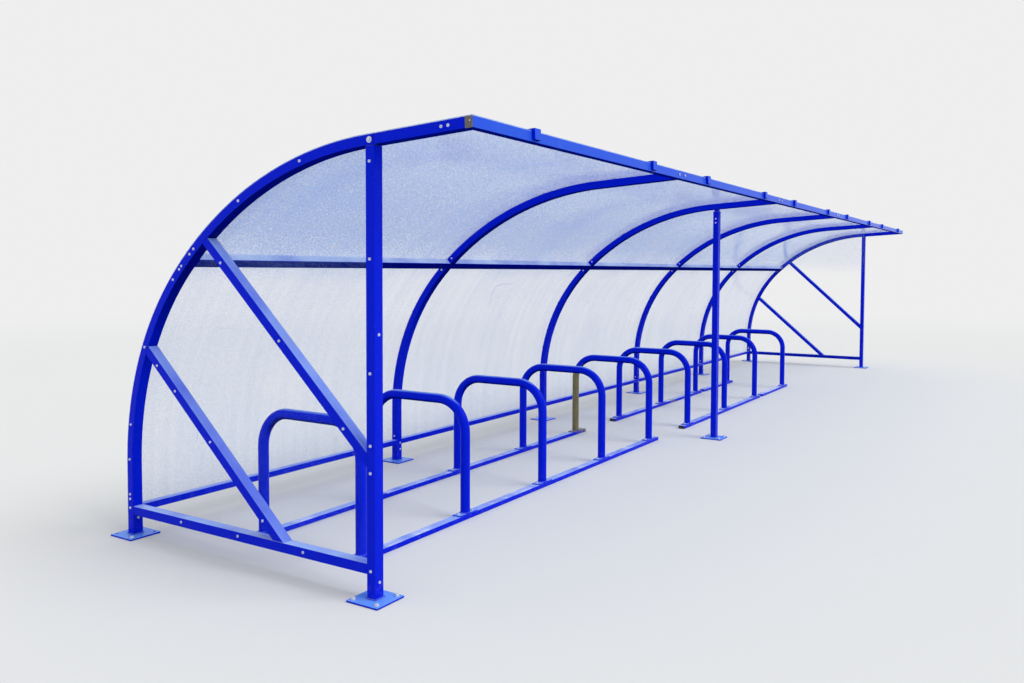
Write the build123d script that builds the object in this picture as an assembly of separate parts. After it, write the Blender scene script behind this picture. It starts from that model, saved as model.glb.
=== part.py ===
from build123d import *
import os
from math import cos, radians, sin, sqrt

# Sizes in millimetres. X runs along the shelter, the open front faces -Y, Z is up from the ground.
# The near end is at -X and the far end at +X.

# Main frame, of box section that is tube thick in the plane of a hoop and tube_width wide along X
bays = 5
bay = 2300
tube = 50
tube_width = 60
leg_height = 420
lower_radius = 1565
lower_sweep = 45
upper_radius = 2085
arm_rise = 3.3
post_to_back = 1870
overhang = 500

# Foot plates
plate_width = 190
plate_thick = 10
hole_pitch = 140
hole_dia = 14

# Posts, counted in hoops from the near end
post_hoops = {"near": 0, "middle": 2, "far": 5}
neck = 40
neck_drop = 18

# Front rail
rail_depth = 40
rail_wall = 3
rail_seam_hoops = (2, 4)
seam_gap = 2
cap_flange = 3
cap_plug = 15
cap_fit = 0.5

# Clear sheets and the clips that hold their front edge
sheet = 4
sheet_joint = 4
clip_width = 55
clip_proud = 19
clip_top = 8
clip_back = 30
clip_rise = 8
clip_inset = 470

# Rails along the back
purlin_angle = 47.6
back_rail = 40
back_rail_top = 174

# End frames
end_rail_top = 174
upper_brace_angle = 42.3
upper_brace_post_height = 656
lower_brace_angle = 41
lower_brace_foot = 637
end_sheet_edge = 8
end_sheet_notch = 3

# Bicycle racks, measured back from the posts' front faces and along from the near end
rack_tube = 60
rack_height = 755
rack_bend = 200
rack_front = 447
rack_back = 1187
rack_rail_width = 60
rack_rail_height = 30
rack_rail_before_hoop = 90
rack_rail_past_hoop = 150
rack_rail_joint = 90
rack_pad_length = 180
rack_pad_thick = 6
rack_near_hoops = 5
rack_near_first = 395
rack_near_pitch = 930
rack_middle_hoops = 3
rack_middle_first = 5055
rack_middle_pitch = 1095
rack_far_first = 8460

# Places that follow from the sizes
plate_past = (plate_width - tube) / 2
clip_reach = (rail_depth + clip_proud) * cos(radians(arm_rise))
clip_droop = (tube - clip_rise) * sin(radians(arm_rise))
depth = plate_past + post_to_back + overhang + clip_reach + clip_droop
back = depth / 2 - plate_past
front = back - post_to_back
near_face = -(bays * bay + tube_width) / 2
inside_near_end = near_face + tube_width
plane_yz = Plane(origin=(0, 0, 0), x_dir=(0, 1, 0), z_dir=(1, 0, 0))

lower_centre = Vector(back - lower_radius, leg_height)
knee = Vector(cos(radians(lower_sweep)), sin(radians(lower_sweep)))
upper_centre = lower_centre + knee * (lower_radius - upper_radius)
arm_normal = Vector(sin(radians(arm_rise)), cos(radians(arm_rise)))
arm_along = Vector(-cos(radians(arm_rise)), sin(radians(arm_rise)))
arm_start = upper_centre + arm_normal * upper_radius
arm_length = (arm_start.X - (front - overhang)) / cos(radians(arm_rise))


def hoop_x(index):
    """Place along X of the middle of a hoop, counted from the near end."""
    return (index - bays / 2) * bay


def on_hoop(angle, inset):
    """Point in the Y-Z plane on the hoop's upper arc, inset from its outer edge."""
    direction = Vector(cos(radians(angle)), sin(radians(angle)))
    return upper_centre + direction * (upper_radius - inset)


def on_arm(along, inset):
    """Point in the Y-Z plane along the straight arm, measured from its tip."""
    return arm_start + arm_along * (arm_length + along) - arm_normal * inset


def hoop_line(inset, bottom, past_tip):
    """The hoop's run from a height on the leg to past the arm's tip, as four joined edges."""
    points = [
        Vector(back - inset, bottom),
        Vector(back - inset, leg_height),
        lower_centre + knee * (lower_radius - inset),
        arm_start - arm_normal * inset,
        on_arm(past_tip, inset),
    ]
    half_lower = radians(lower_sweep / 2)
    half_upper = radians((lower_sweep + 90 - arm_rise) / 2)
    lower_middle = Vector(cos(half_lower), sin(half_lower))
    upper_middle = Vector(cos(half_upper), sin(half_upper))
    return [
        Line(points[0], points[1]),
        ThreePointArc(points[1], lower_centre + lower_middle * (lower_radius - inset), points[2]),
        ThreePointArc(points[2], upper_centre + upper_middle * (upper_radius - inset), points[3]),
        Line(points[3], points[4]),
    ]


def hoop_band(outer, inner, bottom, past_tip):
    """Face between two insets from the hoop's outer edge."""
    outer_line = hoop_line(outer, bottom, past_tip)
    inner_line = hoop_line(inner, bottom, past_tip)
    ends = [
        Line(outer_line[0] @ 0, inner_line[0] @ 0),
        Line(outer_line[-1] @ 1, inner_line[-1] @ 1),
    ]
    return make_face(outer_line + inner_line + ends)


def along_x(face, start, length):
    """Extrude a face drawn in the Y-Z plane along X."""
    return Pos(start, 0, 0) * extrude(plane_yz * face, amount=length, dir=(1, 0, 0))


def block(x0, x1, y0, y1, z0, z1):
    """Box between two corners."""
    centre = Pos((x0 + x1) / 2, (y0 + y1) / 2, (z0 + z1) / 2)
    return centre * Box(x1 - x0, y1 - y0, z1 - z0)


def foot_plate(x, y):
    """Square plate on the ground with four anchor holes, centred under a leg."""
    flat = Pos(x, y, plate_thick / 2) * Box(plate_width, plate_width, plate_thick)
    for dx in (-hole_pitch / 2, hole_pitch / 2):
        for dy in (-hole_pitch / 2, hole_pitch / 2):
            flat -= Pos(x + dx, y + dy, plate_thick / 2) * Cylinder(hole_dia / 2, plate_thick * 2)
    return flat


def arm_underside(y):
    """Height of the arm's underside at a distance along Y."""
    start = arm_start - arm_normal * tube
    return start.Y + (start.X - y) * sin(radians(arm_rise)) / cos(radians(arm_rise))


def hoop(index):
    """One arched hoop: leg, bend and arm in a single box section, welded to its foot plate."""
    x = hoop_x(index)
    frame = along_x(hoop_band(0, tube, plate_thick, 0), x - tube_width / 2, tube_width)
    return frame + foot_plate(x, back - tube / 2)


def post(name):
    """A front post under an arm; the middle one carries a narrower neck up into the arm."""
    x = hoop_x(post_hoops[name])
    y = front + tube / 2
    drop = neck_drop if name == "middle" else 0
    front_top = arm_underside(front) - drop
    back_top = arm_underside(front + tube) - drop
    side = make_face(
        Polyline(
            (front, plate_thick),
            (front, front_top),
            (front + tube, back_top),
            (front + tube, plate_thick),
            close=True,
        )
    )
    shape = along_x(side, x - tube_width / 2, tube_width) + foot_plate(x, y)
    if drop:
        inset = (tube - neck) / 2
        neck_side = make_face(
            Polyline(
                (front + inset, front_top - drop),
                (front + inset, arm_underside(front + inset)),
                (front + tube - inset, arm_underside(front + tube - inset)),
                (front + tube - inset, front_top - drop),
                close=True,
            )
        )
        shape += along_x(neck_side, x - neck / 2, neck)
    return shape


def rail_section(inset):
    """The front rail's outline in front of the arm tips, shrunk by an inset."""
    corners = [
        on_arm(inset, inset),
        on_arm(rail_depth - inset, inset),
        on_arm(rail_depth - inset, tube - inset),
        on_arm(inset, tube - inset),
    ]
    return make_face(Polyline(*[(c.X, c.Y) for c in corners], close=True))


def front_rail(first_hoop, last_hoop):
    """A length of box section across the arm tips, open at its ends."""
    start = hoop_x(first_hoop) + seam_gap / 2
    end = hoop_x(last_hoop) - seam_gap / 2
    if first_hoop == 0:
        start = near_face + cap_flange
    if last_hoop == bays:
        end = -near_face - cap_flange
    outside = along_x(rail_section(0), start, end - start)
    return outside - along_x(rail_section(rail_wall), start, end - start)


def rail_cap(side):
    """Push-in end cap; side is -1 at the near end and 1 at the far end."""
    flange = along_x(rail_section(0), near_face, cap_flange)
    plug = along_x(rail_section(rail_wall + cap_fit), near_face + cap_flange, cap_plug)
    cap = flange + plug
    return cap if side < 0 else mirror(cap, Plane.YZ)


def sheet_clips():
    """Blocks that hook over the sheets' front edge, two to a bay."""
    corners = [
        on_arm(rail_depth - clip_back, -sheet),
        on_arm(rail_depth, -sheet),
        on_arm(rail_depth, tube - clip_rise),
        on_arm(rail_depth + clip_proud, tube - clip_rise),
        on_arm(rail_depth + clip_proud, -sheet - clip_top),
        on_arm(rail_depth - clip_back, -sheet - clip_top),
    ]
    section = make_face(Polyline(*[(c.X, c.Y) for c in corners], close=True))
    clips = []
    for index in range(bays):
        for x in (hoop_x(index) + clip_inset, hoop_x(index + 1) - clip_inset):
            clips.append(along_x(section, x - clip_width / 2, clip_width))
    return Compound(children=clips)


def bars_between_hoops(section):
    """The same section cut to fit between each pair of hoops."""
    bars = []
    for index in range(bays):
        bars.append(along_x(section, hoop_x(index) + tube_width / 2, bay - tube_width))
    return Compound(children=bars)


def purlin_section(grow=0):
    """Box section turned to the hoops' curve, with its outer corners on their outer edge."""
    outer_face = sqrt(upper_radius**2 - (tube_width / 2) ** 2)
    middle = on_hoop(purlin_angle, upper_radius - outer_face + tube / 2)
    section = Rectangle(tube + 2 * grow, tube_width + 2 * grow)
    return Pos(middle.X, middle.Y) * Rot(0, 0, purlin_angle) * section


def back_rail_section(grow=0):
    """Box section between the rear legs, near the ground."""
    section = Rectangle(tube + 2 * grow, back_rail + 2 * grow)
    return Pos(back - tube / 2, back_rail_top - back_rail / 2) * section


def roof_sheet(index):
    """Clear sheet over one bay, from the back rail up and over to the front rail."""
    start = hoop_x(index) + sheet_joint / 2
    end = hoop_x(index + 1) - sheet_joint / 2
    if index == 0:
        start = near_face
    if index == bays - 1:
        end = -near_face
    band = hoop_band(-sheet, 0, back_rail_top - back_rail, rail_depth)
    return along_x(band, start, end - start)


def in_end_frame(section):
    """A bar of the near end frame, as wide along X as the hoop and the post that it joins."""
    return along_x(section, near_face, tube_width)


def end_rail_bar():
    """The level bar low down between post and hoop."""
    y0 = front + tube
    y1 = back - tube
    middle = Pos((y0 + y1) / 2, end_rail_top - tube / 2)
    return in_end_frame(middle * Rectangle(y1 - y0, tube))


def inside_hoop():
    """Area enclosed by the hoop, the post and the end rail, for trimming the braces."""
    line = hoop_line(tube, end_rail_top, 0)
    tip = line[-1] @ 1
    corners = [
        Line(tip, (tip.X, end_rail_top)),
        Line((tip.X, end_rail_top), line[0] @ 0),
    ]
    area = make_face(line + corners)
    keep = Pos((front + tube + back) / 2, upper_radius / 2)
    return area & keep * Rectangle(back - front - tube, upper_radius * 2)


def brace(y, z, angle):
    """A diagonal bar rising backwards through a point to the hoop, trimmed to its neighbours."""
    bar = Pos(y, z) * Rot(0, 0, angle) * Rectangle(post_to_back * 2, tube)
    return in_end_frame(bar & inside_hoop())


def end_sheet():
    """Flat clear sheet against the end frame's inner faces, notched round both back bars."""
    bottom = end_rail_top - tube + end_sheet_edge
    line = hoop_line(end_sheet_edge, bottom, 0)
    tip = line[-1] @ 1
    corners = [Line(tip, (tip.X, bottom)), Line((tip.X, bottom), line[0] @ 0)]
    area = make_face(line + corners)
    edge = front + end_sheet_edge
    keep = Pos((edge + back) / 2, upper_radius / 2) * Rectangle(back - edge, upper_radius * 2)
    area = area & keep
    area = area - purlin_section(end_sheet_notch) - back_rail_section(end_sheet_notch)
    return along_x(area, inside_near_end, sheet)


def rack_hoop(x):
    """Inverted U of round tube across the shelter, on a small pad at each leg."""
    pad_top = rack_rail_height + rack_pad_thick
    top = rack_height - rack_tube / 2
    y0 = front + rack_front
    y1 = front + rack_back
    path = FilletPolyline(
        (x, y0, pad_top), (x, y0, top), (x, y1, top), (x, y1, pad_top), radius=rack_bend
    )
    shape = sweep(Plane(origin=path @ 0, z_dir=path % 0) * Circle(rack_tube / 2), path=path)
    for y in (y0, y1):
        pad = Box(rack_pad_length, rack_rail_width, rack_pad_thick)
        shape += Pos(x, y, rack_rail_height + rack_pad_thick / 2) * pad
    return shape


def rack_rails(start, end):
    """The pair of floor rails under a row of rack hoops."""
    rails = []
    for y in (front + rack_front, front + rack_back):
        half = rack_rail_width / 2
        rails.append(block(start, end, y - half, y + half, 0, rack_rail_height))
    return Compound(children=rails)


def racks():
    """All rack hoops and their floor rails, by node name."""
    near = [near_face + rack_near_first + i * rack_near_pitch for i in range(rack_near_hoops)]
    middle = [near_face + rack_middle_first + i * rack_middle_pitch for i in range(rack_middle_hoops)]
    far = [near_face + rack_far_first]
    pieces = {}
    for i, x in enumerate(near + middle + far):
        pieces[f"rack_hoop_{i + 1}"] = rack_hoop(x)
    past = rack_rail_past_hoop
    pieces["rack_rails_near"] = rack_rails(near[0] - rack_rail_before_hoop, near[-1] + past)
    pieces["rack_rails_middle"] = rack_rails(middle[0] - past, middle[-1] + past)
    far_start = middle[-1] + past + rack_rail_joint
    pieces["rack_rails_far"] = rack_rails(far_start, far[-1] + past)
    return pieces


parts = {}
for i in range(bays + 1):
    parts[f"hoop_{i + 1}"] = hoop(i)
for name in post_hoops:
    parts[f"post_{name}"] = post(name)

stops = (0,) + rail_seam_hoops + (bays,)
for name, first, last in zip(("near", "middle", "far"), stops, stops[1:]):
    parts[f"front_rail_{name}"] = front_rail(first, last)
parts["front_rail_end_cap_near"] = rail_cap(-1)
parts["front_rail_end_cap_far"] = rail_cap(1)
parts["sheet_clips"] = sheet_clips()
parts["purlins"] = bars_between_hoops(purlin_section())
parts["back_rails"] = bars_between_hoops(back_rail_section())

end_parts = {
    "end_rail": end_rail_bar(),
    "upper_brace": brace(front + tube, upper_brace_post_height, upper_brace_angle),
    "lower_brace": brace(front + lower_brace_foot, end_rail_top, lower_brace_angle),
    "end_sheet": end_sheet(),
}
for name, shape in end_parts.items():
    parts[f"{name}_near"] = shape
    parts[f"{name}_far"] = mirror(shape, Plane.YZ)

for i in range(bays):
    parts[f"roof_sheet_{i + 1}"] = roof_sheet(i)
parts.update(racks())

os.makedirs("parts", exist_ok=True)
for name, shape in parts.items():
    shape.label = name
    export_step(shape, f"parts/{name}.step")
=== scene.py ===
from math import cos, pi, radians, sin

import bpy
from mathutils import Matrix, Vector


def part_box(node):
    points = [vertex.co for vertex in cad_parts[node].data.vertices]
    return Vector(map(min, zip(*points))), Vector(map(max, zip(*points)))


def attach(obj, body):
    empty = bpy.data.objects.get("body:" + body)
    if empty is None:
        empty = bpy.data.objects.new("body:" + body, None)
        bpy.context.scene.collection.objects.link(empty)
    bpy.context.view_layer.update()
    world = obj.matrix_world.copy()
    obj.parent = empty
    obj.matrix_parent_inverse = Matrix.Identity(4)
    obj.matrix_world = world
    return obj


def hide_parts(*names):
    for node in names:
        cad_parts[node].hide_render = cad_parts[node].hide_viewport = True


bl_info = {
    "name": "Bike Shelter",
    "version": (1, 0, 0),
    "blender": (4, 5, 0),
    "location": "View3D > Sidebar > Bike Shelter",
    "description": "Dresses a long open-fronted bike shelter with its paint, sheets and fixings",
    "category": "Object",
}

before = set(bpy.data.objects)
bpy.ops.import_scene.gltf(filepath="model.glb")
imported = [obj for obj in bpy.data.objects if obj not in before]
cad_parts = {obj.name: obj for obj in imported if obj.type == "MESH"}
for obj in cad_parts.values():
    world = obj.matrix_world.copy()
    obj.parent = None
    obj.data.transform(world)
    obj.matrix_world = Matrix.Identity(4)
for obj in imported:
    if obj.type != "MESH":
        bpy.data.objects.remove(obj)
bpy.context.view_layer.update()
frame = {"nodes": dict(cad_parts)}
nodes = frame["nodes"]

# Places that the fixings follow, in metres: most are read from the solids' boxes, and the
# heights, radii and angles of the bends are written out as the solids have them
HOOPS = [f"hoop_{i}" for i in range(1, 7)]
HOOP_X = [(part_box(name)[0].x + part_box(name)[1].x) / 2 for name in HOOPS]
END_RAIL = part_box("end_rail_near")
NEAR_FACE, INNER_FACE = END_RAIL[0].x, END_RAIL[1].x
HALF_WIDTH = (INNER_FACE - NEAR_FACE) / 2
TUBE = END_RAIL[1].z - END_RAIL[0].z
HALF = TUBE / 2
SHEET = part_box("end_sheet_near")[1].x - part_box("end_sheet_near")[0].x
PLATE_TOP = 0.01
# From the middle of a foot plate to its holes, along and across
HOLE_REACH = 0.07
# The posts, and which of HOOPS each stands under
POSTS = {"post_near": 0, "post_middle": 2, "post_far": 5}
POST_Y = (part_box("post_near")[0].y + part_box("post_near")[1].y) / 2
LEG_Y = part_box("roof_sheet_1")[1].y - SHEET - HALF
BACK_FACE = LEG_Y + HALF
LOWER_RADIUS = 1.565
UPPER_RADIUS = 2.085
LOWER_SWEEP = radians(45)
ARM_RISE = radians(3.3)
LEG_HEIGHT = 0.42
BRACE_ANGLES = {"upper_brace": radians(42.3), "lower_brace": radians(41)}
LOWER_CENTRE = Vector((0, BACK_FACE - LOWER_RADIUS, LEG_HEIGHT))
UPPER_CENTRE = LOWER_CENTRE + Vector((0, cos(LOWER_SWEEP), sin(LOWER_SWEEP))) * (
    LOWER_RADIUS - UPPER_RADIUS
)
ARM_NORMAL = Vector((0, sin(ARM_RISE), cos(ARM_RISE)))
ARM_ALONG = Vector((0, -cos(ARM_RISE), sin(ARM_RISE)))
ARM_START = UPPER_CENTRE + ARM_NORMAL * UPPER_RADIUS
RAIL_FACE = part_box("front_rail_near")[0].y
ARM_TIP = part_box("hoop_1")[0].y
# Width of the racks' tube, their pads and their floor rails
RACK_TUBE = 0.06
RACK_PAD_TOP = 0.036
# Points nearer than the first are merged, and edges nearer than the second count as flush
SAME_POINT, FLUSH = 0.00001, 0.0005
# Faces that meet at less than this shade as one, on a piece and on a small fixing
PIECE_SMOOTH, FIXING_SMOOTH = radians(50), radians(40)
# Widths of the rounded or eased edges
PLATE_EASE, CLIP_EASE, CAP_EASE, SHEET_EASE, FLOOR_RAIL_EASE = 0.0012, 0.0015, 0.002, 0.0006, 0.002
UP = (0, 0, 1)

# Colours that go with those of the settings
# Painted sky reflection on the front rail's front face
RAIL_PAINTED_REFLECTION = (0.16, 0.56, 1.0)
# Painted highlight along the tops of the racks' tubes
RACK_PAINTED_HIGHLIGHT = (0.24, 0.46, 1.0)
# Painted sky reflection on the purlin's tops
PURLIN_PAINTED_REFLECTION = (0.60, 0.75, 1.0)
CHIP = (0.33, 0.36, 0.42)
SCUFF = (0.72, 0.80, 1.0)
DARK_UNDERCOAT = (0.17, 0.14, 0.05)
JOINT_SHADOW = (0.0, 0.002, 0.03)
BRIGHT_ZINC, DULL_ZINC = (0.84, 0.88, 0.97), (0.46, 0.51, 0.62)
# Paler haze above the purlin: painted skylight shining through the roof
PAINTED_SKYLIGHT_HAZE = (0.50, 0.66, 1.0)
GREY_CAP = (0.17, 0.155, 0.15), (0.085, 0.078, 0.08)
DARK_CAP = (0.03, 0.035, 0.06), (0.015, 0.018, 0.03)
BLACK_PLUG = (0.020, 0.022, 0.035), (0.010, 0.012, 0.018)
SEAL_RUBBER = (0.03, 0.03, 0.033), (0.015, 0.015, 0.016)


def on_hoop(angle, inset):
    """Point and outward direction on the hoop's bends, inset from the outer edge."""
    outward = Vector((0, cos(angle), sin(angle)))
    if angle < LOWER_SWEEP:
        return LOWER_CENTRE + outward * (LOWER_RADIUS - inset), outward
    return UPPER_CENTRE + outward * (UPPER_RADIUS - inset), outward


def on_arm(y, inset):
    """Point on the straight arm at a distance along Y, inset from its top."""
    along = (ARM_START.y - y) / cos(ARM_RISE)
    return ARM_START + ARM_ALONG * along - ARM_NORMAL * inset


class PaintSettings(bpy.types.PropertyGroup):
    """Colours and gloss of the painted steel."""

    blue: bpy.props.FloatVectorProperty(
        name="Blue",
        description="Colour of the powder coat",
        default=(0.0002, 0.013, 0.73),
        subtype="COLOR",
        size=3,
        min=0,
        max=1,
    )
    # Tint of the weather streaks, and of the painted sky reflection on top faces
    fade_and_sky_reflection: bpy.props.FloatVectorProperty(
        name="Faded",
        description="Chalky tint of the faces that the weather reaches",
        default=(0.36, 0.53, 1.0),
        subtype="COLOR",
        size=3,
        min=0,
        max=1,
    )
    # Azure of the painted sky reflection on the foot plates' tops
    plate: bpy.props.FloatVectorProperty(
        name="Plate",
        description="Washed azure of the foot plates' tops",
        default=(0.12, 0.34, 1.0),
        subtype="COLOR",
        size=3,
        min=0,
        max=1,
    )
    dust: bpy.props.FloatVectorProperty(
        name="Dust",
        description="Grit that settles near the ground",
        default=(0.42, 0.40, 0.36),
        subtype="COLOR",
        size=3,
        min=0,
        max=1,
    )
    worn: bpy.props.FloatVectorProperty(
        name="Worn",
        description="Yellow-brown undercoat on the rubbed rack leg",
        default=(0.31, 0.27, 0.07),
        subtype="COLOR",
        size=3,
        min=0,
        max=1,
    )
    roughness: bpy.props.FloatProperty(
        name="Roughness",
        description="Roughness of clean paint",
        default=0.16,
        min=0,
        max=1,
        subtype="FACTOR",
    )


class SheetSettings(bpy.types.PropertyGroup):
    """Look of the clear sheets."""

    tint: bpy.props.FloatVectorProperty(
        name="Tint",
        description="Colour of the haze on the clear sheet",
        default=(0.32, 0.55, 1.0),
        subtype="COLOR",
        size=3,
        min=0,
        max=1,
    )
    roof_haze: bpy.props.FloatProperty(
        name="Roof haze",
        description="Share of light that the cleanest part of a roof sheet holds back",
        default=0.13,
        min=0,
        max=1,
        subtype="FACTOR",
    )
    end_haze: bpy.props.FloatProperty(
        name="End haze",
        description="Share of light that the cleanest part of an end sheet holds back",
        default=0.012,
        min=0,
        max=1,
        subtype="FACTOR",
    )


class FixingSettings(bpy.types.PropertyGroup):
    """Sizes of the screws, bolts and anchors."""

    screw_head: bpy.props.FloatProperty(
        name="Screw head",
        description="Diameter of a button head",
        default=0.015,
        unit="LENGTH",
        min=0.001,
    )
    anchor_flats: bpy.props.FloatProperty(
        name="Anchor across flats",
        description="Hexagon of an anchor nut",
        default=0.019,
        unit="LENGTH",
        min=0.001,
    )
    washer: bpy.props.FloatProperty(
        name="Anchor washer",
        description="Diameter of an anchor's washer",
        default=0.026,
        unit="LENGTH",
        min=0.001,
    )
    corner: bpy.props.FloatProperty(
        name="Tube corner",
        description="Outside corner radius of the box section",
        default=0.003,
        unit="LENGTH",
        min=0.0001,
    )


class StudioSettings(bpy.types.PropertyGroup):
    """Floor, lamps and camera."""

    floor: bpy.props.FloatVectorProperty(
        name="Floor",
        description="Colour of the floor",
        default=(0.74, 0.74, 0.73),
        subtype="COLOR",
        size=3,
        min=0,
        max=1,
    )
    backdrop: bpy.props.FloatProperty(
        name="Backdrop",
        description="Brightness of the backdrop as the camera sees it",
        default=0.86,
        min=0,
        max=1,
    )
    sky: bpy.props.FloatProperty(
        name="Sky",
        description="Strength of the light from all around",
        default=0.42,
        min=0,
    )
    zenith: bpy.props.FloatProperty(
        name="Zenith",
        description="How much stronger that light is straight overhead",
        default=0.55,
        min=0,
    )
    sun: bpy.props.FloatProperty(
        name="Sun",
        description="Strength of the soft lamp",
        default=1.5,
        min=0,
    )


class Value:
    """What a node puts out; arithmetic on it adds Math nodes."""

    def __init__(self, nodes, output):
        self.nodes = nodes
        self.output = output

    def __add__(self, other):
        return self.nodes.maths("ADD", self, other)

    __radd__ = __add__

    def __sub__(self, other):
        return self.nodes.maths("SUBTRACT", self, other)

    def __rsub__(self, other):
        return self.nodes.maths("SUBTRACT", other, self)

    def __mul__(self, other):
        return self.nodes.maths("MULTIPLY", self, other)

    def __abs__(self):
        return self.nodes.maths("ABSOLUTE", self)

    def __lt__(self, other):
        return self.nodes.maths("LESS_THAN", self, other)

    def __gt__(self, other):
        return self.nodes.maths("GREATER_THAN", self, other)


class Nodes:
    """The node tree of a material or a world while it is being made."""

    def __init__(self, owner):
        owner.use_nodes = True
        self.tree = owner.node_tree
        self.tree.nodes.clear()

    def add(self, kind, settings, inputs, output=0):
        """Adds a node: its settings first, then the values or links of its sockets."""
        node = self.tree.nodes.new(kind)
        for key, value in settings.items():
            setattr(node, key, value)
        for key, value in inputs.items():
            if isinstance(value, Value):
                self.tree.links.new(value.output, node.inputs[key])
            else:
                node.inputs[key].default_value = value
        return Value(self, node.outputs[output])

    def maths(self, operation, *terms):
        inputs = dict(enumerate(terms))
        return self.add("ShaderNodeMath", {"operation": operation}, inputs)

    def put_out(self, kind, shader):
        """Ends the tree with a shader on its output node."""
        output = self.tree.nodes.new(kind)
        self.tree.links.new(shader.output, output.inputs["Surface"])


class Finish(Nodes):
    """A procedural material while it is being made."""

    def __init__(self, name):
        self.material = bpy.data.materials.new(name)
        super().__init__(self.material)
        self.place = self.add("ShaderNodeTexCoord", {}, {}, "Object")
        self.x, self.y, self.z = (
            self.add("ShaderNodeSeparateXYZ", {}, {"Vector": self.place}, axis) for axis in "XYZ"
        )

    def noise(self, scale, detail, stretch=(1, 1, 1), shift=(0, 0, 0)):
        """Cloudy pattern from 0 to 1; scale is in cells to a metre."""
        vector = self.add(
            "ShaderNodeMapping", {}, {"Vector": self.place, "Scale": stretch, "Location": shift}
        )
        return self.add(
            "ShaderNodeTexNoise", {}, {"Vector": vector, "Scale": scale, "Detail": detail}, "Fac"
        )

    def ramp(self, value, low, high):
        """Smooth step from 0 at low to 1 at high."""
        return self.add(
            "ShaderNodeMapRange",
            {"interpolation_type": "SMOOTHSTEP"},
            {"Value": value, "From Min": low, "From Max": high},
        )

    def blend(self, factor, first, second):
        """Mixes two colours."""
        colours = {0: factor}
        for key, colour in ((6, first), (7, second)):
            colours[key] = colour if isinstance(colour, Value) else (*colour, 1)
        return self.add("ShaderNodeMix", {"data_type": "RGBA", "clamp_factor": True}, colours, 2)

    def facing(self, axis):
        """How far a face looks along an axis, from -1 to 1."""
        normal = self.add("ShaderNodeNewGeometry", {}, {}, "Normal")
        return self.add("ShaderNodeSeparateXYZ", {}, {"Vector": normal}, axis)

    def bump(self, height, distance, strength):
        sockets = {"Height": height, "Distance": distance, "Strength": strength}
        return self.add("ShaderNodeBump", {}, sockets)

    def close(self, shader):
        """Ends the material with a shader and hands it over."""
        self.put_out("ShaderNodeOutputMaterial", shader)
        return self.material

    def surface(self, **sockets):
        """Ends the material with a Principled shader; socket names have _ for a space."""
        names = {key.replace("_", " "): value for key, value in sockets.items()}
        return self.close(self.add("ShaderNodeBsdfPrincipled", {}, names))


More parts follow.
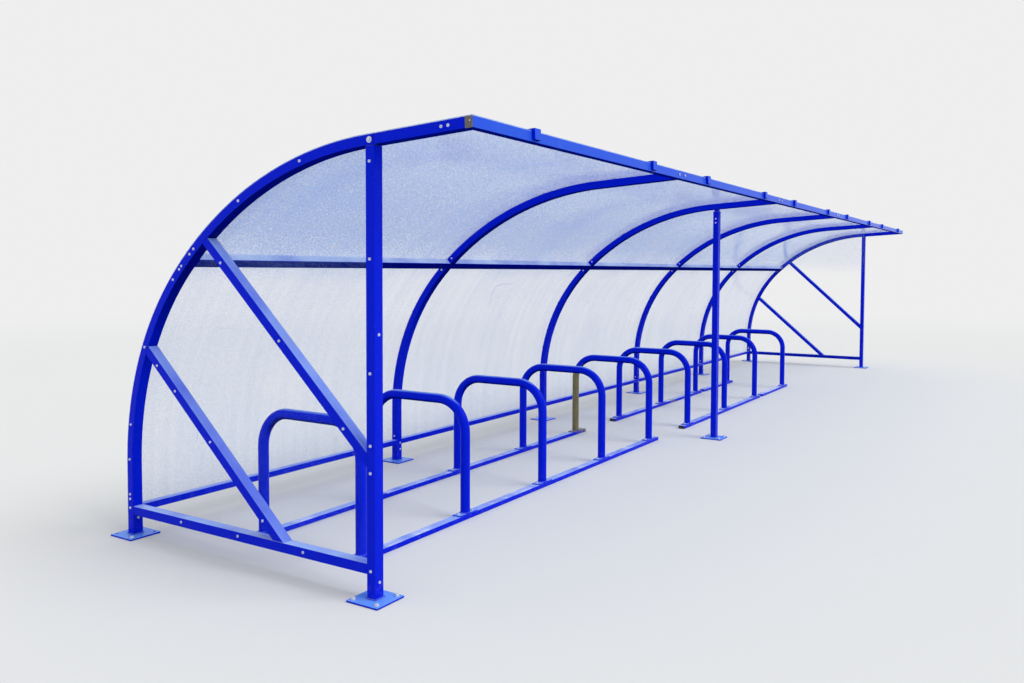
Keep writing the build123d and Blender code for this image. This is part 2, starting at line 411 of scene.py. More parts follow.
def painted(name, top, band=(0.45, 0.72), tint=None, front=0.0, scuffs=0.0, wear=None, seam=None):
    """Blue powder coat: slight mottle, painted sky reflection on top faces, painted shade
    underneath, dust low down, chips and orange peel.

    Top faces turn paler, by the share top and between the two values of band for how far they
    look up, towards tint: a mottled painted sky reflection. front is a painted sky reflection on
    faces that look forwards, scuffs the rubbed patches on top; wear and seam draw where the
    undercoat shows and a dark joint line.
    """
    paint = bpy.context.scene.shelter_paint
    finish = Finish(name)
    facing = finish.facing("Z")
    up = finish.ramp(facing, *band)
    painted_underside_shade = 1 - finish.ramp(facing, -0.75, -0.25)
    lacquer = finish.ramp(facing, -0.55, -0.12)
    mottle = finish.noise(2.3, 4)
    fine = finish.noise(70, 2)
    streak = finish.noise(9, 3, (1, 1, 0.12))
    colour = finish.blend(mottle * 0.26, paint.blue, [c * 0.66 for c in paint.blue])
    # Faces that look down turn a much darker blue: painted shade
    colour = finish.blend(painted_underside_shade * 0.86, colour, [c * 0.13 for c in paint.blue])
    # Faces that look forwards turn a paler azure: a painted sky reflection
    if front:
        ahead = finish.ramp(0 - finish.facing("Y"), 0.6, 0.9)
        colour = finish.blend(ahead * (mottle * 0.5 + 0.75) * front, colour, RAIL_PAINTED_REFLECTION)
    # Top faces turn paler in a mottled pattern: a painted sky reflection
    reflection_mottle = finish.ramp(finish.noise(3.1, 5, shift=(6, 2, 4)), 0.25, 0.75)
    colour = finish.blend(up * (reflection_mottle * 0.50 + 0.58) * top, colour, tint or paint.fade_and_sky_reflection)
    # Tops of the foot plates turn azure: a painted sky reflection
    plate_top_reflection = up * (finish.z < PLATE_TOP + 0.001)
    colour = finish.blend(plate_top_reflection * (reflection_mottle * 0.2 + 0.75), colour, paint.plate)
    colour = finish.blend(finish.ramp(streak, 0.62, 0.90) * 0.04, colour, paint.fade_and_sky_reflection)
    low = 1 - finish.ramp(finish.z + mottle * 0.12, 0.03, 0.20)
    grit = low * finish.ramp(finish.noise(34, 5), 0.50, 0.76) * 0.10
    settled = up * finish.ramp(finish.noise(13, 6, shift=(3, 1, 0)), 0.52, 0.82) * 0.12
    colour = finish.blend(grit + settled, colour, paint.dust)
    chips = finish.ramp(finish.noise(150, 2, shift=(5, 0, 2)), 0.745, 0.775)
    colour = finish.blend(chips * 0.5, colour, CHIP)
    rough = paint.roughness + mottle * 0.05 + (grit + settled) * 0.9 + chips * 0.3 + up * 0.12
    if scuffs:
        patch = finish.ramp(finish.noise(5.5, 3, (1, 0.4, 0.4), (1.7, 0, 0)), 0.50, 0.66)
        rub = finish.ramp(finish.noise(42, 4, (0.25, 1, 1)), 0.42, 0.62)
        scuff = up * patch * (rub * 0.6 + 0.4) * scuffs
        colour = finish.blend(scuff, colour, SCUFF)
        rough = rough + scuff * 0.25
    if wear:
        mask = wear(finish)
        brown = finish.blend(finish.noise(26, 5), paint.worn, DARK_UNDERCOAT)
        colour = finish.blend(mask * 0.95, colour, brown)
        rough = rough + mask * 0.38
    relief = fine * 0.7 + chips * -0.6
    if seam:
        line = seam(finish)
        colour = finish.blend(line * 0.85, colour, JOINT_SHADOW)
        relief = relief - line
    return finish.surface(
        Base_Color=colour,
        Roughness=rough,
        Specular_IOR_Level=0.0,
        Coat_Weight=lacquer,
        Coat_IOR=1.13,
        Coat_Roughness=paint.roughness + 0.04,
        Normal=finish.bump(relief, 0.00025, 0.35),
    )


def zinc(name):
    """Bright zinc plate with duller patches."""
    finish = Finish(name)
    patch = finish.noise(90, 4)
    return finish.surface(
        Base_Color=finish.blend(patch, BRIGHT_ZINC, DULL_ZINC),
        Metallic=0.45,
        Roughness=patch * 0.20 + 0.22,
        Normal=finish.bump(finish.noise(600, 2), 0.0001, 0.3),
    )


def plastic(name, light, dark):
    """Moulded plastic or rubber with a grain and faint weathering."""
    finish = Finish(name)
    patch = finish.noise(60, 5)
    return finish.surface(
        Base_Color=finish.blend(patch, light, dark),
        Roughness=patch * 0.2 + 0.45,
        Normal=finish.bump(finish.noise(900, 2), 0.0001, 0.4),
    )


def clear_sheet(name, haze, marking):
    """Clear plastic sheet: thicker haze above the purlin, paler there as painted skylight, fine
    speckle, a few scratches and a painted reflection where it is seen edge on.

    haze is what its cleanest part holds back, marking the strength of everything that adds to it.
    """
    look = bpy.context.scene.shelter_sheet
    finish = Finish(name)
    cloud = finish.noise(1.6, 4)
    runs = finish.noise(14, 3, (1, 0.06, 0.06))
    speckle = finish.noise(95, 3)
    # Above the purlin the haze thickens and turns paler: painted skylight shining through the roof
    high = finish.ramp(finish.z + cloud * 0.16, 1.50, 1.86)
    lines = abs(finish.noise(0.8, 1, shift=(7, 2, 5)) - 0.5) < 0.0006
    scratch = lines * finish.ramp(finish.noise(2.2, 2, shift=(1, 9, 3)), 0.5, 0.62)
    marks = finish.ramp(finish.noise(6, 6, shift=(2, 4, 1)), 0.62, 0.80)
    # Seen edge on, the sheet holds back more and shows its tint: a painted reflection
    edge_on = finish.add("ShaderNodeLayerWeight", {}, {"Blend": 0.30}, "Facing")
    marks_and_painted_light = high * 0.24 + (cloud - 0.5) * 0.10 + (runs - 0.5) * 0.10 - (1 - high) * 0.03
    grain = finish.ramp(speckle, 0.34, 0.66)
    marks_and_painted_light = marks_and_painted_light + (grain - 0.5) * (high * 0.27 + 0.06)
    marks_and_painted_light = marks_and_painted_light + marks * 0.05 + scratch * 0.18 + edge_on * (high * 0.06 + 0.10)
    alpha = marks_and_painted_light * marking + haze
    return finish.surface(
        Base_Color=finish.blend(high * 0.30, look.tint, PAINTED_SKYLIGHT_HAZE),
        Roughness=speckle * 0.12 + marks * 0.2 + 0.06,
        IOR=1.6,
        Alpha=finish.add("ShaderNodeClamp", {}, {"Value": alpha, "Min": haze * 0.4, "Max": 0.85}),
        Normal=finish.bump(speckle + runs * 0.6, 0.0006, 0.30),
    )


def deselect():
    bpy.ops.object.select_all(action="DESELECT")


def pick(piece):
    """Makes a piece the only one selected."""
    deselect()
    piece.select_set(True)
    bpy.context.view_layer.objects.active = piece


def edit_mode(kind="FACE"):
    bpy.ops.object.mode_set(mode="EDIT")
    bpy.ops.mesh.select_mode(type=kind)


def object_mode():
    bpy.ops.object.mode_set(mode="OBJECT")


def sharp_edges(piece, wanted):
    """Selects the sharp edges whose middle and direction pass a test."""
    pick(piece)
    edit_mode("EDGE")
    bpy.ops.mesh.select_all(action="DESELECT")
    bpy.ops.mesh.edges_select_sharp(sharpness=radians(35))
    object_mode()
    mesh = piece.data
    for edge in mesh.edges:
        start, end = (mesh.vertices[i].co for i in edge.vertices)
        if edge.select and not wanted((start + end) / 2, (end - start).normalized()):
            edge.select = False


def bevel(piece, width, segments, wanted):
    sharp_edges(piece, wanted)
    edit_mode("EDGE")
    bpy.ops.mesh.bevel(offset=width, segments=segments, affect="EDGES", clamp_overlap=True)
    object_mode()


def every_edge(middle, along):
    return True


def merge_slivers(piece):
    """Merges the points that a bevel has left on top of each other."""
    pick(piece)
    edit_mode("VERT")
    bpy.ops.mesh.select_all(action="SELECT")
    bpy.ops.mesh.remove_doubles(threshold=SAME_POINT)
    object_mode()


def weigh_normals(piece):
    """Keeps flat faces flat beside their rounded edges."""
    merge_slivers(piece)
    bpy.ops.object.shade_smooth_by_angle(angle=PIECE_SMOOTH)
    bpy.ops.object.modifier_add(type="WEIGHTED_NORMAL")
    weighted = piece.modifiers[-1]
    weighted.keep_sharp = True
    bpy.ops.object.modifier_apply(modifier=weighted.name)


def merged_copy(node, name):
    """A copy of a CAD node as one closed mesh with its flat faces whole."""
    piece = bpy.data.objects.new(name, nodes[node].data.copy())
    bpy.context.scene.collection.objects.link(piece)
    pick(piece)
    edit_mode()
    bpy.ops.mesh.select_all(action="SELECT")
    bpy.ops.mesh.remove_doubles(threshold=SAME_POINT)
    bpy.ops.mesh.dissolve_limited(angle_limit=radians(0.3))
    bpy.ops.mesh.customdata_custom_splitnormals_clear()
    object_mode()
    return piece


def settle(piece, material, slot=None, *replaced):
    """Gives a piece its finish and its body, and hides the CAD nodes that it stands for."""
    piece.data.materials.clear()
    piece.data.materials.append(material)
    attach(piece, "root")
    if replaced:
        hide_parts(*replaced)


def on_plate(middle, along):
    return middle.z <= PLATE_TOP + FLUSH


def rounded_tube(node, material, run=None, width=None):
    """Box section with its long edges rounded in place of a CAD node, its plate only eased.

    run is the way a straight tube goes; a hoop has none.
    """
    corner = width or bpy.context.scene.shelter_fixings.corner

    def long_edge(middle, along):
        if run is not None:
            return abs(along.dot(run)) > 0.99
        if on_plate(middle, along):
            return False
        return abs(along.x) < 0.5 and middle.y > ARM_TIP + FLUSH

    piece = merged_copy(node, f"{node}_rounded")
    bevel(piece, corner, 3, long_edge)
    if node.startswith(("hoop", "post")):
        bevel(piece, PLATE_EASE, 2, on_plate)
    weigh_normals(piece)
    settle(piece, material, "blue_paint", node)


def masters_to_places(master, name, places):
    """Copies a fixing to each (point, outward direction) and joins the copies to one piece."""
    copies = []
    for point, outward in places:
        copy = bpy.data.objects.new(name, master.data.copy())
        bpy.context.scene.collection.objects.link(copy)
        turn = Vector(outward).to_track_quat("Z", "Y").to_matrix().to_4x4()
        copy.matrix_world = Matrix.Translation(point) @ turn
        copies.append(copy)
    deselect()
    for copy in copies:
        copy.select_set(True)
    bpy.context.view_layer.objects.active = copies[0]
    bpy.ops.object.join()
    bpy.ops.object.transform_apply(location=True, rotation=True, scale=True)
    piece = bpy.context.view_layer.objects.active
    piece.name = name
    return piece


def blank(width, height, sides, seat=0.0, turn=0.0):
    """A plain disc or prism that stands on a level, with its place in its mesh."""
    deselect()
    bpy.ops.mesh.primitive_cylinder_add(
        vertices=sides,
        radius=width / 2,
        depth=height,
        location=(0, 0, seat + height / 2),
        rotation=(0, 0, turn),
    )
    bpy.ops.object.transform_apply(location=True, rotation=True)
    return bpy.context.object


def pick_top(piece, level):
    """In edit mode, leaves only the face that lies flat at a height selected."""
    bpy.ops.mesh.select_all(action="DESELECT")
    object_mode()
    for face in piece.data.polygons:
        face.select = abs(face.center.z - level) < SAME_POINT and face.normal.z > 0.9
    edit_mode()


def dished(width, height, rolled, rim, sink):
    """A disc with a rolled edge whose top is sunk inside a rim, seat at the origin."""
    disc = blank(width, height, 14)
    edit_mode()
    pick_top(disc, height)
    bpy.ops.mesh.bevel(offset=rolled, segments=2, affect="EDGES")
    pick_top(disc, height)
    bpy.ops.mesh.inset(thickness=rim)
    bpy.ops.mesh.extrude_region_move(TRANSFORM_OT_translate={"value": (0, 0, -sink)})
    object_mode()
    bpy.ops.object.shade_smooth_by_angle(angle=FIXING_SMOOTH)
    return disc


def button_screw(width, height):
    """Button head with a round socket, facing up."""
    return dished(width, height, height * 0.55, width * 0.12, height * 0.6)


def seal_washer(width, height):
    """Round washer with a dished top."""
    return dished(width, height, height * 0.45, width * 0.15, height * 0.15)


def ease_all(piece, width):
    """Cuts a flat along every edge of a blank."""
    pick(piece)
    edit_mode("EDGE")
    bpy.ops.mesh.select_all(action="SELECT")
    bpy.ops.mesh.bevel(offset=width, segments=1, affect="EDGES")
    object_mode()


def hexagon(flats, height, washer, washer_thick):
    """Hexagon nut on a washer, seat at the origin and facing up."""
    ring = blank(washer, washer_thick, 20)
    ease_all(ring, washer_thick * 0.25)
    nut = blank(flats / cos(pi / 6), height, 6, washer_thick)
    ease_all(nut, height * 0.12)
    pick(ring)
    nut.select_set(True)
    bpy.ops.object.join()
    bpy.ops.object.shade_smooth_by_angle(angle=FIXING_SMOOTH)
    return ring


def weld_collar(across_x, across_y, height, throat, sides=4):
    """Rounded bead round the foot of a leg, seat at the origin; sides is 4 or many for a tube."""
    square = sides == 4
    bead = blank(2**0.5, height, sides, turn=pi / 4) if square else blank(1, height, sides)
    edit_mode()
    bpy.ops.mesh.select_all(action="SELECT")
    bpy.ops.transform.resize(value=(across_x + 2 * throat, across_y + 2 * throat, 1))
    object_mode()
    if square:
        bevel(bead, throat * 1.2, 3, lambda middle, along: abs(along.z) > 0.9)
    edit_mode()
    pick_top(bead, height)
    bpy.ops.mesh.bevel(offset=throat * 0.75, segments=3, affect="EDGES")
    object_mode()
    merge_slivers(bead)
    bpy.ops.object.shade_smooth_by_angle(angle=PIECE_SMOOTH)
    return bead


def discard(*masters):
    """Takes away the masters of copied fixings."""
    for master in masters:
        bpy.data.objects.remove(master)


def rack_feet():
    """X and Y of both legs of every rack, from the near end on."""
    for number in range(1, 10):
        low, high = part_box(f"rack_hoop_{number}")
        for y in (low.y + RACK_TUBE / 2, high.y - RACK_TUBE / 2):
            yield (low.x + high.x) / 2, y


def arm_joint(finish):
    """Thin dark line round the arm where it butts against the bend over an end post."""
    half_line, below_arm = 0.0016, 1.95
    return (abs(finish.y - (POST_Y - HALF)) < half_line) * (finish.z > below_arm)


class SHELTER_OT_frame(bpy.types.Operator):
    """Round the corners of the hoops, posts, rails and braces and paint them"""

    bl_idname = "shelter.frame"
    bl_label = "Painted frame"

    def execute(self, context):
        # The second value of each paint is the share of painted sky reflection on its top faces
        paint = painted("blue_gloss_paint", 0.55)
        jointed = painted("end_hoop_paint", 0.55, seam=arm_joint)
        for node in HOOPS:
            rounded_tube(node, jointed if node in (HOOPS[0], HOOPS[-1]) else paint)
        for node in POSTS:
            rounded_tube(node, paint, Vector((0, 0, 1)))
        # The purlin's tops take the palest painted sky reflection
        purlin = painted("purlin_painted_reflection_paint", 1.0, tint=PURLIN_PAINTED_REFLECTION)
        rounded_tube("purlins", purlin, Vector((1, 0, 0)))
        rounded_tube("back_rails", painted("back_rail_paint", 0.75), Vector((1, 0, 0)))
        level = painted("end_rail_paint", 0.95, scuffs=0.3)
        slanted = {
            "upper_brace": painted("upper_brace_paint", 0.80),
            "lower_brace": painted("lower_brace_paint", 0.58),
        }
        for side in ("near", "far"):
            rounded_tube(f"end_rail_{side}", level, Vector((0, 1, 0)))
            for node, material in slanted.items():
                angle = BRACE_ANGLES[node]
                run = Vector((0, cos(angle), sin(angle)))
                rounded_tube(f"{node}_{side}", material, run)
        return {"FINISHED"}


class SHELTER_OT_front_rail(bpy.types.Operator):
    """Finish the front rail, its end caps and the clips over it"""

    bl_idname = "shelter.front_rail"
    bl_label = "Front rail"

    def execute(self, context):
        # The low band puts a painted highlight on the rail's rounded top edge, and front a painted
        # sky reflection on its front face
        paint = painted("blue_rail_paint", 0.95, (0.06, 0.36), front=0.16, scuffs=0.4)
        for length in ("near", "middle", "far"):
            rounded_tube(f"front_rail_{length}", paint, Vector((1, 0, 0)))
        clips = merged_copy("sheet_clips", "sheet_clips_folded")
        bevel(clips, CLIP_EASE, 3, every_edge)
        weigh_normals(clips)
        settle(clips, paint, "blue_paint", "sheet_clips")
        grey = plastic("grey_cap_plastic", *GREY_CAP)
        dark = plastic("dark_cap_plastic", *DARK_CAP)
        for side, material, slot in (("near", grey, "grey_cap"), ("far", dark, "dark_cap")):
            node = f"front_rail_end_cap_{side}"
            cap = merged_copy(node, f"{node}_moulded")
            bevel(cap, CAP_EASE, 3, every_edge)
            weigh_normals(cap)
            settle(cap, material, slot, node)
        return {"FINISHED"}


class SHELTER_OT_sheets(bpy.types.Operator):
    """Finish the clear roof sheets and end sheets"""

    bl_idname = "shelter.sheets"
    bl_label = "Clear sheets"

    def execute(self, context):
        look = context.scene.shelter_sheet
        roof = clear_sheet("hazed_roof_sheet", look.roof_haze, 1.0)
        end = clear_sheet("clear_end_sheet", look.end_haze, 0.36)
        sheets = {f"roof_sheet_{i}": roof for i in range(1, 6)}
        sheets.update(end_sheet_near=end, end_sheet_far=end)
        for node, material in sheets.items():
            piece = merged_copy(node, f"{node}_clear")
            bevel(piece, SHEET_EASE, 1, every_edge)
            weigh_normals(piece)
            settle(piece, material, "clear_sheet", node)
        return {"FINISHED"}


def rubbed_leg(finish):
    """Where locks and tyres have worn the fifth rack's back leg down to its undercoat."""
    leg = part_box("rack_hoop_5")[1].y - 0.03
    edge = finish.noise(11, 4) * 0.16
    back = finish.ramp(finish.y + edge * 0.5, leg - 0.20, leg - 0.10)
    below = 1 - finish.ramp(finish.z - edge, 0.50, 0.58)
    return back * below * finish.ramp(finish.noise(60, 3), 0.22, 0.34)


def rubbed_rails(finish):
    """Worn stretches of the back floor rails, by their distance along the shelter."""
    back = finish.ramp(finish.y, 0.3, 0.32)
    mask = 0
    for middle, reach in ((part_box("rack_rails_near")[1].x - 0.06, 0.16), (0.66, 0.12)):
        edge = finish.noise(7, 4, shift=(middle, 0, 0)) * 0.12
        mask = mask + (1 - finish.ramp(abs(finish.x - middle) + edge, reach - 0.06, reach + 0.06))
    return back * mask * finish.ramp(finish.noise(40, 4), 0.36, 0.56)


class SHELTER_OT_racks(bpy.types.Operator):
    """Finish the bicycle racks and their floor rails"""

    bl_idname = "shelter.racks"
    bl_label = "Bicycle racks"

    def execute(self, context):
        # The racks' tops take a narrow band of painted highlight
        look = {"top": 0.75, "band": (0.66, 1.0), "tint": RACK_PAINTED_HIGHLIGHT, "scuffs": 0.2}
        paint = painted("blue_rack_paint", **look)
        rubbed = painted("rubbed_rack_paint", wear=rubbed_leg, **look)
        for number in range(1, 10):
            node = f"rack_hoop_{number}"
            piece = merged_copy(node, f"{node}_welded")
            weigh_normals(piece)
            settle(piece, rubbed if number == 5 else paint, "blue_paint", node)
        rail_paint = painted("scuffed_rail_paint", 0.8, scuffs=0.8, wear=rubbed_rails)
        for length in ("near", "middle", "far"):
            rounded_tube(f"rack_rails_{length}", rail_paint, Vector((1, 0, 0)), FLOOR_RAIL_EASE)
        return {"FINISHED"}


# Screws of an end frame: on the hoop by degrees round its bends, and elsewhere by height or by
# distance behind the post's middle and height
PURLIN_ANGLE = 47.6
HOOP_SCREW_ANGLES = (75.1, 62.0, 50.1, 45.6, 42.9, 25.8, 8.3)
LEG_SCREW_HEIGHTS = (0.441, 0.162)
LEG_BOLT_HEIGHTS = (0.240, 0.213)
PURLIN_BOLT_ANGLES = (48.9, 46.3)
BAR_SCREWS = (
    (1.020, 1.558), (0.592, 1.175), (0.167, 0.784),
    (1.557, 0.993), (1.403, 0.864), (1.117, 0.617), (0.720, 0.262),
    (1.365, 0.152), (0.908, 0.152), (0.436, 0.152),
)
POST_SCREW_HEIGHTS = (2.014, 1.574, 1.053, 0.721, 0.595, 0.141)
ARM_SCREWS = (-0.403, -0.440)
POST_FRONT_HEIGHTS = (0.087, 1.23)
LEG_FRONT_HEIGHT = 0.104
POST_BOLT_BEHIND = 0.003
# Screws of the hoops between the ends: through the purlin and the back rail, on the leg's front
# face, and through the neck of the middle post
PURLIN_PAIR = 1.8
BACK_RAIL_BOLT_HEIGHT = 0.203
LEG_PAIR_HEIGHTS, LEG_PAIR_ASIDE = (0.145, 0.094), 0.009
NECK_SCREW_HEIGHTS = (2.000, 1.965)
# Each side of a hoop's middle: the front rail's screws and the roof sheets' rows
RAIL_PAIR, ROOF_PAIR = 0.047, 0.014
ROOF_SCREW_ANGLES = (12, 30, PURLIN_ANGLE, 61, 75)
ROOF_SCREW_ON_LEG = 0.155
ROOF_SCREWS_ON_ARM = (-0.09, -0.49)
# Where the pin of an end cap stands, as shares of the cap's depth and height
PIN_SHARES = (0.36, 0.60)
# Anchors of the end hoops' legs: which of HOOPS, then the corner of its plate in X and Y
LEG_ANCHORS = ((0, -1, -1), (0, 1, 1), (5, 1, -1), (5, -1, 1))
RACK_BOLT_ASIDE = 0.067

# Diameter and height of button heads and seals
ROOF_SCREW, ROOF_SEAL, CAP_PIN = (0.014, 0.003), (0.021, 0.0016), (0.007, 0.002)
# How far a roof screw's head stands off the sheet, on its seal
SEAL_SEAT = 0.0014
# Hexagons: across flats, height, and their washer's diameter and thickness
BOLT_END = (0.013, 0.006, 0.018, 0.0016)
POST_BOLT = (0.017, 0.008, 0.030, 0.0025)
RACK_BOLT = (0.013, 0.007, 0.020, 0.002)
ANCHOR_NUT_HEIGHT, ANCHOR_WASHER_THICK = 0.008, 0.0025
# Height and throat of a weld bead on a foot plate and on a rack's pad
PLATE_WELD, RACK_WELD = 0.005, 0.004
# A floor rail's plug: its thickness, how much smaller than the rail it is, and its rounded edge
PLUG_THICK, PLUG_GAP, PLUG_EASE = 0.003, 0.001, 0.001


def end_frame_places():
    """Y and Z of the screws that hold an end sheet to its frame, then of the through bolts."""
    screws = [on_hoop(radians(angle), HALF)[0] for angle in HOOP_SCREW_ANGLES]
    screws += [Vector((0, LEG_Y, z)) for z in LEG_SCREW_HEIGHTS]
    screws += [Vector((0, POST_Y + y, z)) for y, z in BAR_SCREWS]
    screws += [Vector((0, POST_Y, z)) for z in POST_SCREW_HEIGHTS]
    bolts = [on_hoop(radians(angle), HALF)[0] for angle in PURLIN_BOLT_ANGLES]
    bolts += [Vector((0, LEG_Y, z)) for z in LEG_BOLT_HEIGHTS]
    return screws, bolts


def inner_hoop_places():
    """Places of the heads and of the nuts on the hoops between the ends."""
    heads, nuts = [], []
    pair = (PURLIN_ANGLE + PURLIN_PAIR, PURLIN_ANGLE - PURLIN_PAIR)
    through = [on_hoop(radians(angle), HALF)[0] for angle in pair]
    through.append(Vector((0, LEG_Y, BACK_RAIL_BOLT_HEIGHT)))
    for x in HOOP_X[1:-1]:
        for _, y, z in through:
            heads.append(((x - HALF_WIDTH, y, z), (-1, 0, 0)))
            nuts.append(((x + HALF_WIDTH, y, z), (1, 0, 0)))
        aside = x + LEG_PAIR_ASIDE
        heads += [((aside, LEG_Y - HALF, z), (0, -1, 0)) for z in LEG_PAIR_HEIGHTS]
    neck = HOOP_X[POSTS["post_middle"]] - HALF_WIDTH
    heads += [((neck, POST_Y, z), (-1, 0, 0)) for z in NECK_SCREW_HEIGHTS]
    return heads, nuts


class SHELTER_OT_screws(bpy.types.Operator):
    """Place the button screws and nuts of the end frames, hoops and front rail"""

    bl_idname = "shelter.screws"
    bl_label = "Screws"

    def execute(self, context):
        head = context.scene.shelter_fixings.screw_head
        plate = zinc("zinc_screws")
        screw = button_screw(head, head * 0.34)
        bolt_end = hexagon(*BOLT_END)
        screws, bolts = end_frame_places()
        for side, sign in (("near", 1), ("far", -1)):
            out = (-sign, 0, 0)
            face = Vector((sign * NEAR_FACE, 0, 0))
            inner = Vector((sign * (INNER_FACE + SHEET), 0, 0))
            spots = [(face + place, out) for place in screws + bolts]
            spots += [(face + on_arm(POST_Y + y, HALF), out) for y in ARM_SCREWS]
            x = sign * HOOP_X[0]
            spots += [((x, POST_Y - HALF, z), (0, -1, 0)) for z in POST_FRONT_HEIGHTS]
            spots.append(((x, LEG_Y - HALF, LEG_FRONT_HEIGHT), (0, -1, 0)))
            settle(masters_to_places(screw, f"{side}_end_screws", spots), plate)
            ends = [(inner + place, (sign, 0, 0)) for place in bolts]
            settle(masters_to_places(bolt_end, f"{side}_end_nuts", ends), plate)
        heads, nuts = inner_hoop_places()
        settle(masters_to_places(screw, "hoop_screws", heads), plate)
        settle(masters_to_places(bolt_end, "hoop_nuts", nuts), plate)
        rail_spots = []
        for x in HOOP_X[1:-1]:
            for aside in (-RAIL_PAIR, RAIL_PAIR):
                point = on_arm(RAIL_FACE, HALF) + Vector((x + aside, 0, 0))
                rail_spots.append((point, ARM_ALONG))
        settle(masters_to_places(screw, "front_rail_screws", rail_spots), plate)
        pin = button_screw(*CAP_PIN)
        low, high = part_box("front_rail_end_cap_near")
        y = low.y + (high.y - low.y) * PIN_SHARES[0]
        z = low.z + (high.z - low.z) * PIN_SHARES[1]
        caps = [((sign * low.x, y, z), (-sign, 0, 0)) for sign in (1, -1)]
        settle(masters_to_places(pin, "end_cap_pins", caps), plate)
        discard(screw, bolt_end, pin)
        return {"FINISHED"}


class SHELTER_OT_roof_screws(bpy.types.Operator):
    """Place the washered screws that hold the roof sheets down on the hoops"""

    bl_idname = "shelter.roof_screws"
    bl_label = "Roof screws"

    def execute(self, context):
        screw = button_screw(*ROOF_SCREW)
        washer = seal_washer(*ROOF_SEAL)
        inner = [x + aside for x in HOOP_X[1:-1] for aside in (-ROOF_PAIR, ROOF_PAIR)]
        foot = Vector((0, BACK_FACE + SHEET, ROOF_SCREW_ON_LEG))
        seats = []
        for x in (HOOP_X[0], *inner, HOOP_X[-1]):
            across = Vector((x, 0, 0))
            seats.append((across + foot, Vector((0, 1, 0))))
            for angle in ROOF_SCREW_ANGLES:
                point, outward = on_hoop(radians(angle), -SHEET)
                seats.append((across + point, outward))
            for y in ROOF_SCREWS_ON_ARM:
                seats.append((across + on_arm(POST_Y + y, -SHEET), ARM_NORMAL))
        rubber = plastic("black_seal_rubber", *SEAL_RUBBER)
        settle(masters_to_places(washer, "roof_screw_seals", seats), rubber)
        heads = [(seat + outward * SEAL_SEAT, outward) for seat, outward in seats]
        settle(masters_to_places(screw, "roof_screws", heads), zinc("zinc_roof_screws"))
        discard(screw, washer)
        return {"FINISHED"}


class SHELTER_OT_post_bolts(bpy.types.Operator):
    """Place the large bolt at the head of each end post"""

    bl_idname = "shelter.post_bolts"
    bl_label = "Post head bolts"

    def execute(self, context):
        bolt = hexagon(*POST_BOLT)
        point = on_arm(POST_Y + POST_BOLT_BEHIND, HALF)
        spots = [((sign * NEAR_FACE, point.y, point.z), (-sign, 0, 0)) for sign in (1, -1)]
        settle(masters_to_places(bolt, "post_head_bolts", spots), zinc("zinc_bolts"))
        discard(bolt)
        return {"FINISHED"}


class SHELTER_OT_anchors(bpy.types.Operator):
    """Place the ground anchors on the foot plates"""

    bl_idname = "shelter.anchors"
    bl_label = "Ground anchors"

    def execute(self, context):
        sizes = context.scene.shelter_fixings
        anchor = hexagon(
            sizes.anchor_flats, ANCHOR_NUT_HEIGHT, sizes.washer, ANCHOR_WASHER_THICK
        )
        corners = [(dx, dy) for dx in (-1, 1) for dy in (-1, 1)]
        holes = [(hoop, POST_Y, dx, dy) for hoop in POSTS.values() for dx, dy in corners]
        holes += [(hoop, LEG_Y, dx, dy) for hoop, dx, dy in LEG_ANCHORS]
        spots = []
        for hoop, y, dx, dy in holes:
            point = (HOOP_X[hoop] + dx * HOLE_REACH, y + dy * HOLE_REACH, PLATE_TOP)
            spots.append((point, UP))
        settle(masters_to_places(anchor, "ground_anchors", spots), zinc("zinc_anchors"))
        discard(anchor)
        return {"FINISHED"}


class SHELTER_OT_rack_bolts(bpy.types.Operator):
    """Place a bolt on each side of every rack leg"""

    bl_idname = "shelter.rack_bolts"
    bl_label = "Rack bolts"

    def execute(self, context):
        bolt = hexagon(*RACK_BOLT)
        spots = []
        for x, y in rack_feet():
            for aside in (-RACK_BOLT_ASIDE, RACK_BOLT_ASIDE):
                spots.append(((x + aside, y, RACK_PAD_TOP), UP))
        settle(masters_to_places(bolt, "rack_bolts", spots), zinc("zinc_rack_bolts"))
        discard(bolt)
        return {"FINISHED"}


class SHELTER_OT_welds(bpy.types.Operator):
    """Run the weld beads round the feet of the posts, hoops and racks"""

    bl_idname = "shelter.welds"
    bl_label = "Weld beads"

    def execute(self, context):
        paint = painted("weld_paint", 0.3)
        bead = weld_collar(2 * HALF_WIDTH, TUBE, PLATE_WELD, PLATE_WELD)
        feet = [((x, LEG_Y, PLATE_TOP), UP) for x in HOOP_X]
        feet += [((HOOP_X[hoop], POST_Y, PLATE_TOP), UP) for hoop in POSTS.values()]
        settle(masters_to_places(bead, "foot_plate_welds", feet), paint, "blue_paint")
        ring = weld_collar(RACK_TUBE, RACK_TUBE, RACK_WELD, RACK_WELD, 28)
        legs = [((x, y, RACK_PAD_TOP), UP) for x, y in rack_feet()]
        settle(masters_to_places(ring, "rack_pad_welds", legs), paint, "blue_paint")
        discard(bead, ring)
        return {"FINISHED"}


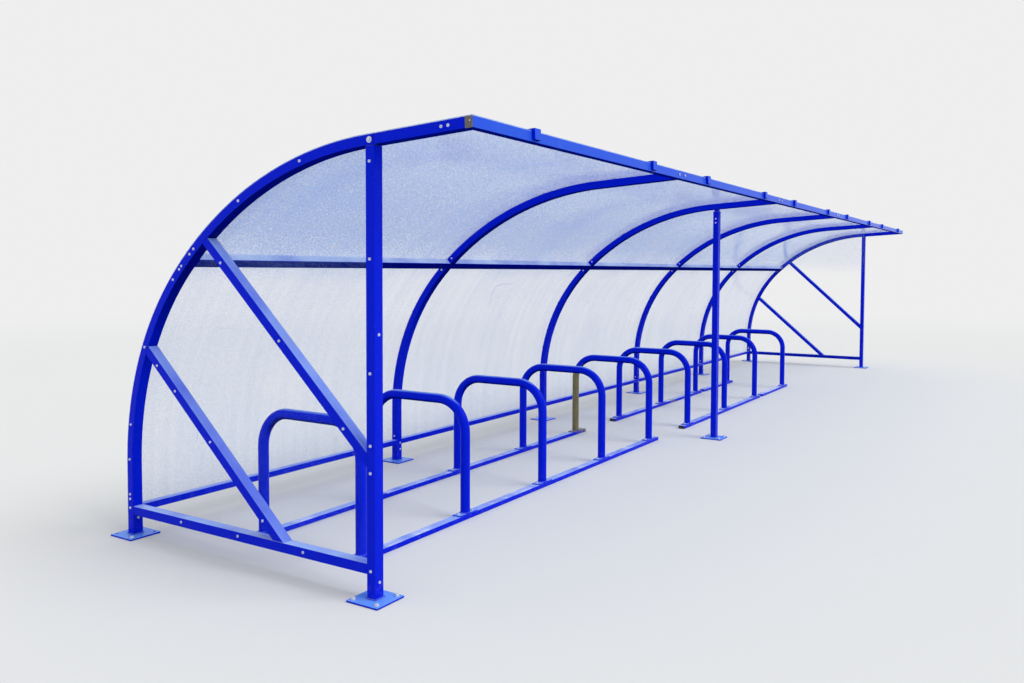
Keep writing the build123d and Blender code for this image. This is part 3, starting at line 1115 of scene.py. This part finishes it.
class SHELTER_OT_rail_plugs(bpy.types.Operator):
    """Close the facing ends of the two long rack units' floor rails with black plugs"""

    bl_idname = "shelter.rail_plugs"
    bl_label = "Floor rail plugs"

    def execute(self, context):
        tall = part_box("rack_rails_near")[1].z
        deselect()
        bpy.ops.mesh.primitive_cube_add(size=1, location=(0, 0, 0))
        plug = context.object
        edit_mode()
        bpy.ops.mesh.select_all(action="SELECT")
        bpy.ops.transform.resize(value=(RACK_TUBE - PLUG_GAP, tall - PLUG_GAP, PLUG_THICK))
        bpy.ops.transform.translate(value=(0, 0, PLUG_THICK / 2))
        object_mode()
        bevel(plug, PLUG_EASE, 3, every_edge)
        bpy.ops.object.shade_smooth_by_angle(angle=PIECE_SMOOTH)
        spots = []
        for length, end, sign in (("near", 1, 1), ("middle", 0, -1)):
            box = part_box(f"rack_rails_{length}")
            for y in (box[0].y + RACK_TUBE / 2, box[1].y - RACK_TUBE / 2):
                spots.append(((box[end].x, y, tall / 2), (sign, 0, 0)))
        dark = plastic("black_plug_plastic", *BLACK_PLUG)
        settle(masters_to_places(plug, "floor_rail_plugs", spots), dark, "dark_cap")
        discard(plug)
        return {"FINISHED"}


FLOOR_RADIUS = 120
# Distances from the middle between which the floor turns into the backdrop
FLOOR_FADE = (11, 26)
LAMP_FROM = (0.15, -0.85, 0.95)
# The camera: place in metres, turns in radians, focal length and width of its picture in pixels
CAMERA_PLACE = (-8.7081, -3.3054, 1.5236)
YAW, PITCH, ROLL = 0.5604, 0.0424, 0.004
FOCAL_LENGTH, PICTURE_WIDTH, SENSOR_WIDTH = 858.1, 1024, 36
SHIFT_X, SHIFT_Y = -0.0080, -0.0335


class SHELTER_OT_studio(bpy.types.Operator):
    """Set the floor, the backdrop, the lamps and the camera"""

    bl_idname = "shelter.studio"
    bl_label = "Studio"

    def execute(self, context):
        look = context.scene.shelter_studio
        deselect()
        bpy.ops.mesh.primitive_circle_add(vertices=96, radius=FLOOR_RADIUS, fill_type="NGON")
        floor = context.object
        floor.name = "floor"
        finish = Finish("pale_floor")
        cloud = finish.noise(0.6, 4)
        colour = finish.blend(cloud * 0.3, look.floor, [c * 0.94 for c in look.floor])
        ground = finish.add("ShaderNodeBsdfDiffuse", {}, {"Color": colour})
        backdrop = (look.backdrop, look.backdrop, look.backdrop, 1)
        glow = finish.add("ShaderNodeEmission", {}, {"Color": backdrop})
        length = {"operation": "LENGTH"}
        across = finish.add("ShaderNodeVectorMath", length, {0: finish.place}, "Value")
        far = finish.ramp(across, *FLOOR_FADE)
        shader = finish.add("ShaderNodeMixShader", {}, {0: far, 1: ground, 2: glow})
        floor.data.materials.append(finish.close(shader))

        # The world lights the shelter; the camera, metal and glass see a plain backdrop instead
        world = bpy.data.worlds.new("studio")
        context.scene.world = world
        tree = Nodes(world)
        add = tree.add
        direction = add("ShaderNodeTexCoord", {}, {}, "Generated")
        height = add("ShaderNodeSeparateXYZ", {}, {"Vector": direction}, "Z")
        brightness = {"Value": height, "To Min": look.sky, "To Max": look.sky + look.zenith}
        dome = add("ShaderNodeMapRange", {}, brightness)
        sky = add("ShaderNodeBackground", {}, {"Color": (0.96, 0.98, 1, 1), "Strength": dome})
        plain = add("ShaderNodeBackground", {}, {"Color": (1, 1, 1, 1), "Strength": look.backdrop})
        camera_ray = add("ShaderNodeLightPath", {}, {}, "Is Camera Ray")
        glossy_ray = add("ShaderNodeLightPath", {}, {}, "Is Glossy Ray")
        transmission_ray = add("ShaderNodeLightPath", {}, {}, "Is Transmission Ray")
        seen = tree.maths("MAXIMUM", camera_ray, transmission_ray)
        seen = tree.maths("MAXIMUM", seen, glossy_ray)
        mixed = add("ShaderNodeMixShader", {}, {0: seen, 1: sky, 2: plain})
        tree.put_out("ShaderNodeOutputWorld", mixed)

        bpy.ops.object.light_add(type="SUN", location=(-6, -8, 10))
        lamp = context.object
        lamp.name = "soft_sun"
        lamp.data.energy = look.sun
        lamp.data.angle = radians(35)
        lamp.rotation_euler = Vector(LAMP_FROM).to_track_quat("Z", "Y").to_euler()

        ahead = Vector((cos(YAW) * cos(PITCH), sin(YAW) * cos(PITCH), -sin(PITCH)))
        turn = ahead.to_track_quat("-Z", "Y").to_matrix() @ Matrix.Rotation(ROLL, 3, "Z")
        bpy.ops.object.camera_add(location=CAMERA_PLACE)
        camera = context.object
        camera.name = "photo_camera"
        camera.rotation_euler = turn.to_euler()
        camera.data.sensor_width = SENSOR_WIDTH
        camera.data.lens = FOCAL_LENGTH / PICTURE_WIDTH * SENSOR_WIDTH
        camera.data.shift_x = SHIFT_X
        camera.data.shift_y = SHIFT_Y
        camera.data.clip_end = 400
        context.scene.camera = camera
        context.scene.view_settings.view_transform = "Standard"
        return {"FINISHED"}


class SHELTER_PT_panel(bpy.types.Panel):
    """Buttons for each group of pieces"""

    bl_label = "Bike Shelter"
    bl_space_type = "VIEW_3D"
    bl_region_type = "UI"
    bl_category = "Bike Shelter"

    def draw(self, context):
        for operator in OPERATORS:
            self.layout.operator(operator.bl_idname)


OPERATORS = (
    SHELTER_OT_studio,
    SHELTER_OT_frame,
    SHELTER_OT_front_rail,
    SHELTER_OT_sheets,
    SHELTER_OT_racks,
    SHELTER_OT_rail_plugs,
    SHELTER_OT_screws,
    SHELTER_OT_roof_screws,
    SHELTER_OT_post_bolts,
    SHELTER_OT_anchors,
    SHELTER_OT_rack_bolts,
    SHELTER_OT_welds,
)
SETTINGS = {
    "shelter_paint": PaintSettings,
    "shelter_sheet": SheetSettings,
    "shelter_fixings": FixingSettings,
    "shelter_studio": StudioSettings,
}


def register():
    for name, group in SETTINGS.items():
        bpy.utils.register_class(group)
        setattr(bpy.types.Scene, name, bpy.props.PointerProperty(type=group))
    for operator in OPERATORS:
        bpy.utils.register_class(operator)
    bpy.utils.register_class(SHELTER_PT_panel)


def unregister():
    bpy.utils.unregister_class(SHELTER_PT_panel)
    for operator in reversed(OPERATORS):
        bpy.utils.unregister_class(operator)
    for name, group in SETTINGS.items():
        delattr(bpy.types.Scene, name)
        bpy.utils.unregister_class(group)


def main():
    register()
    for operator in OPERATORS:
        group, name = operator.bl_idname.split(".")
        getattr(getattr(bpy.ops, group), name)()


if __name__ == "__main__":
    main()
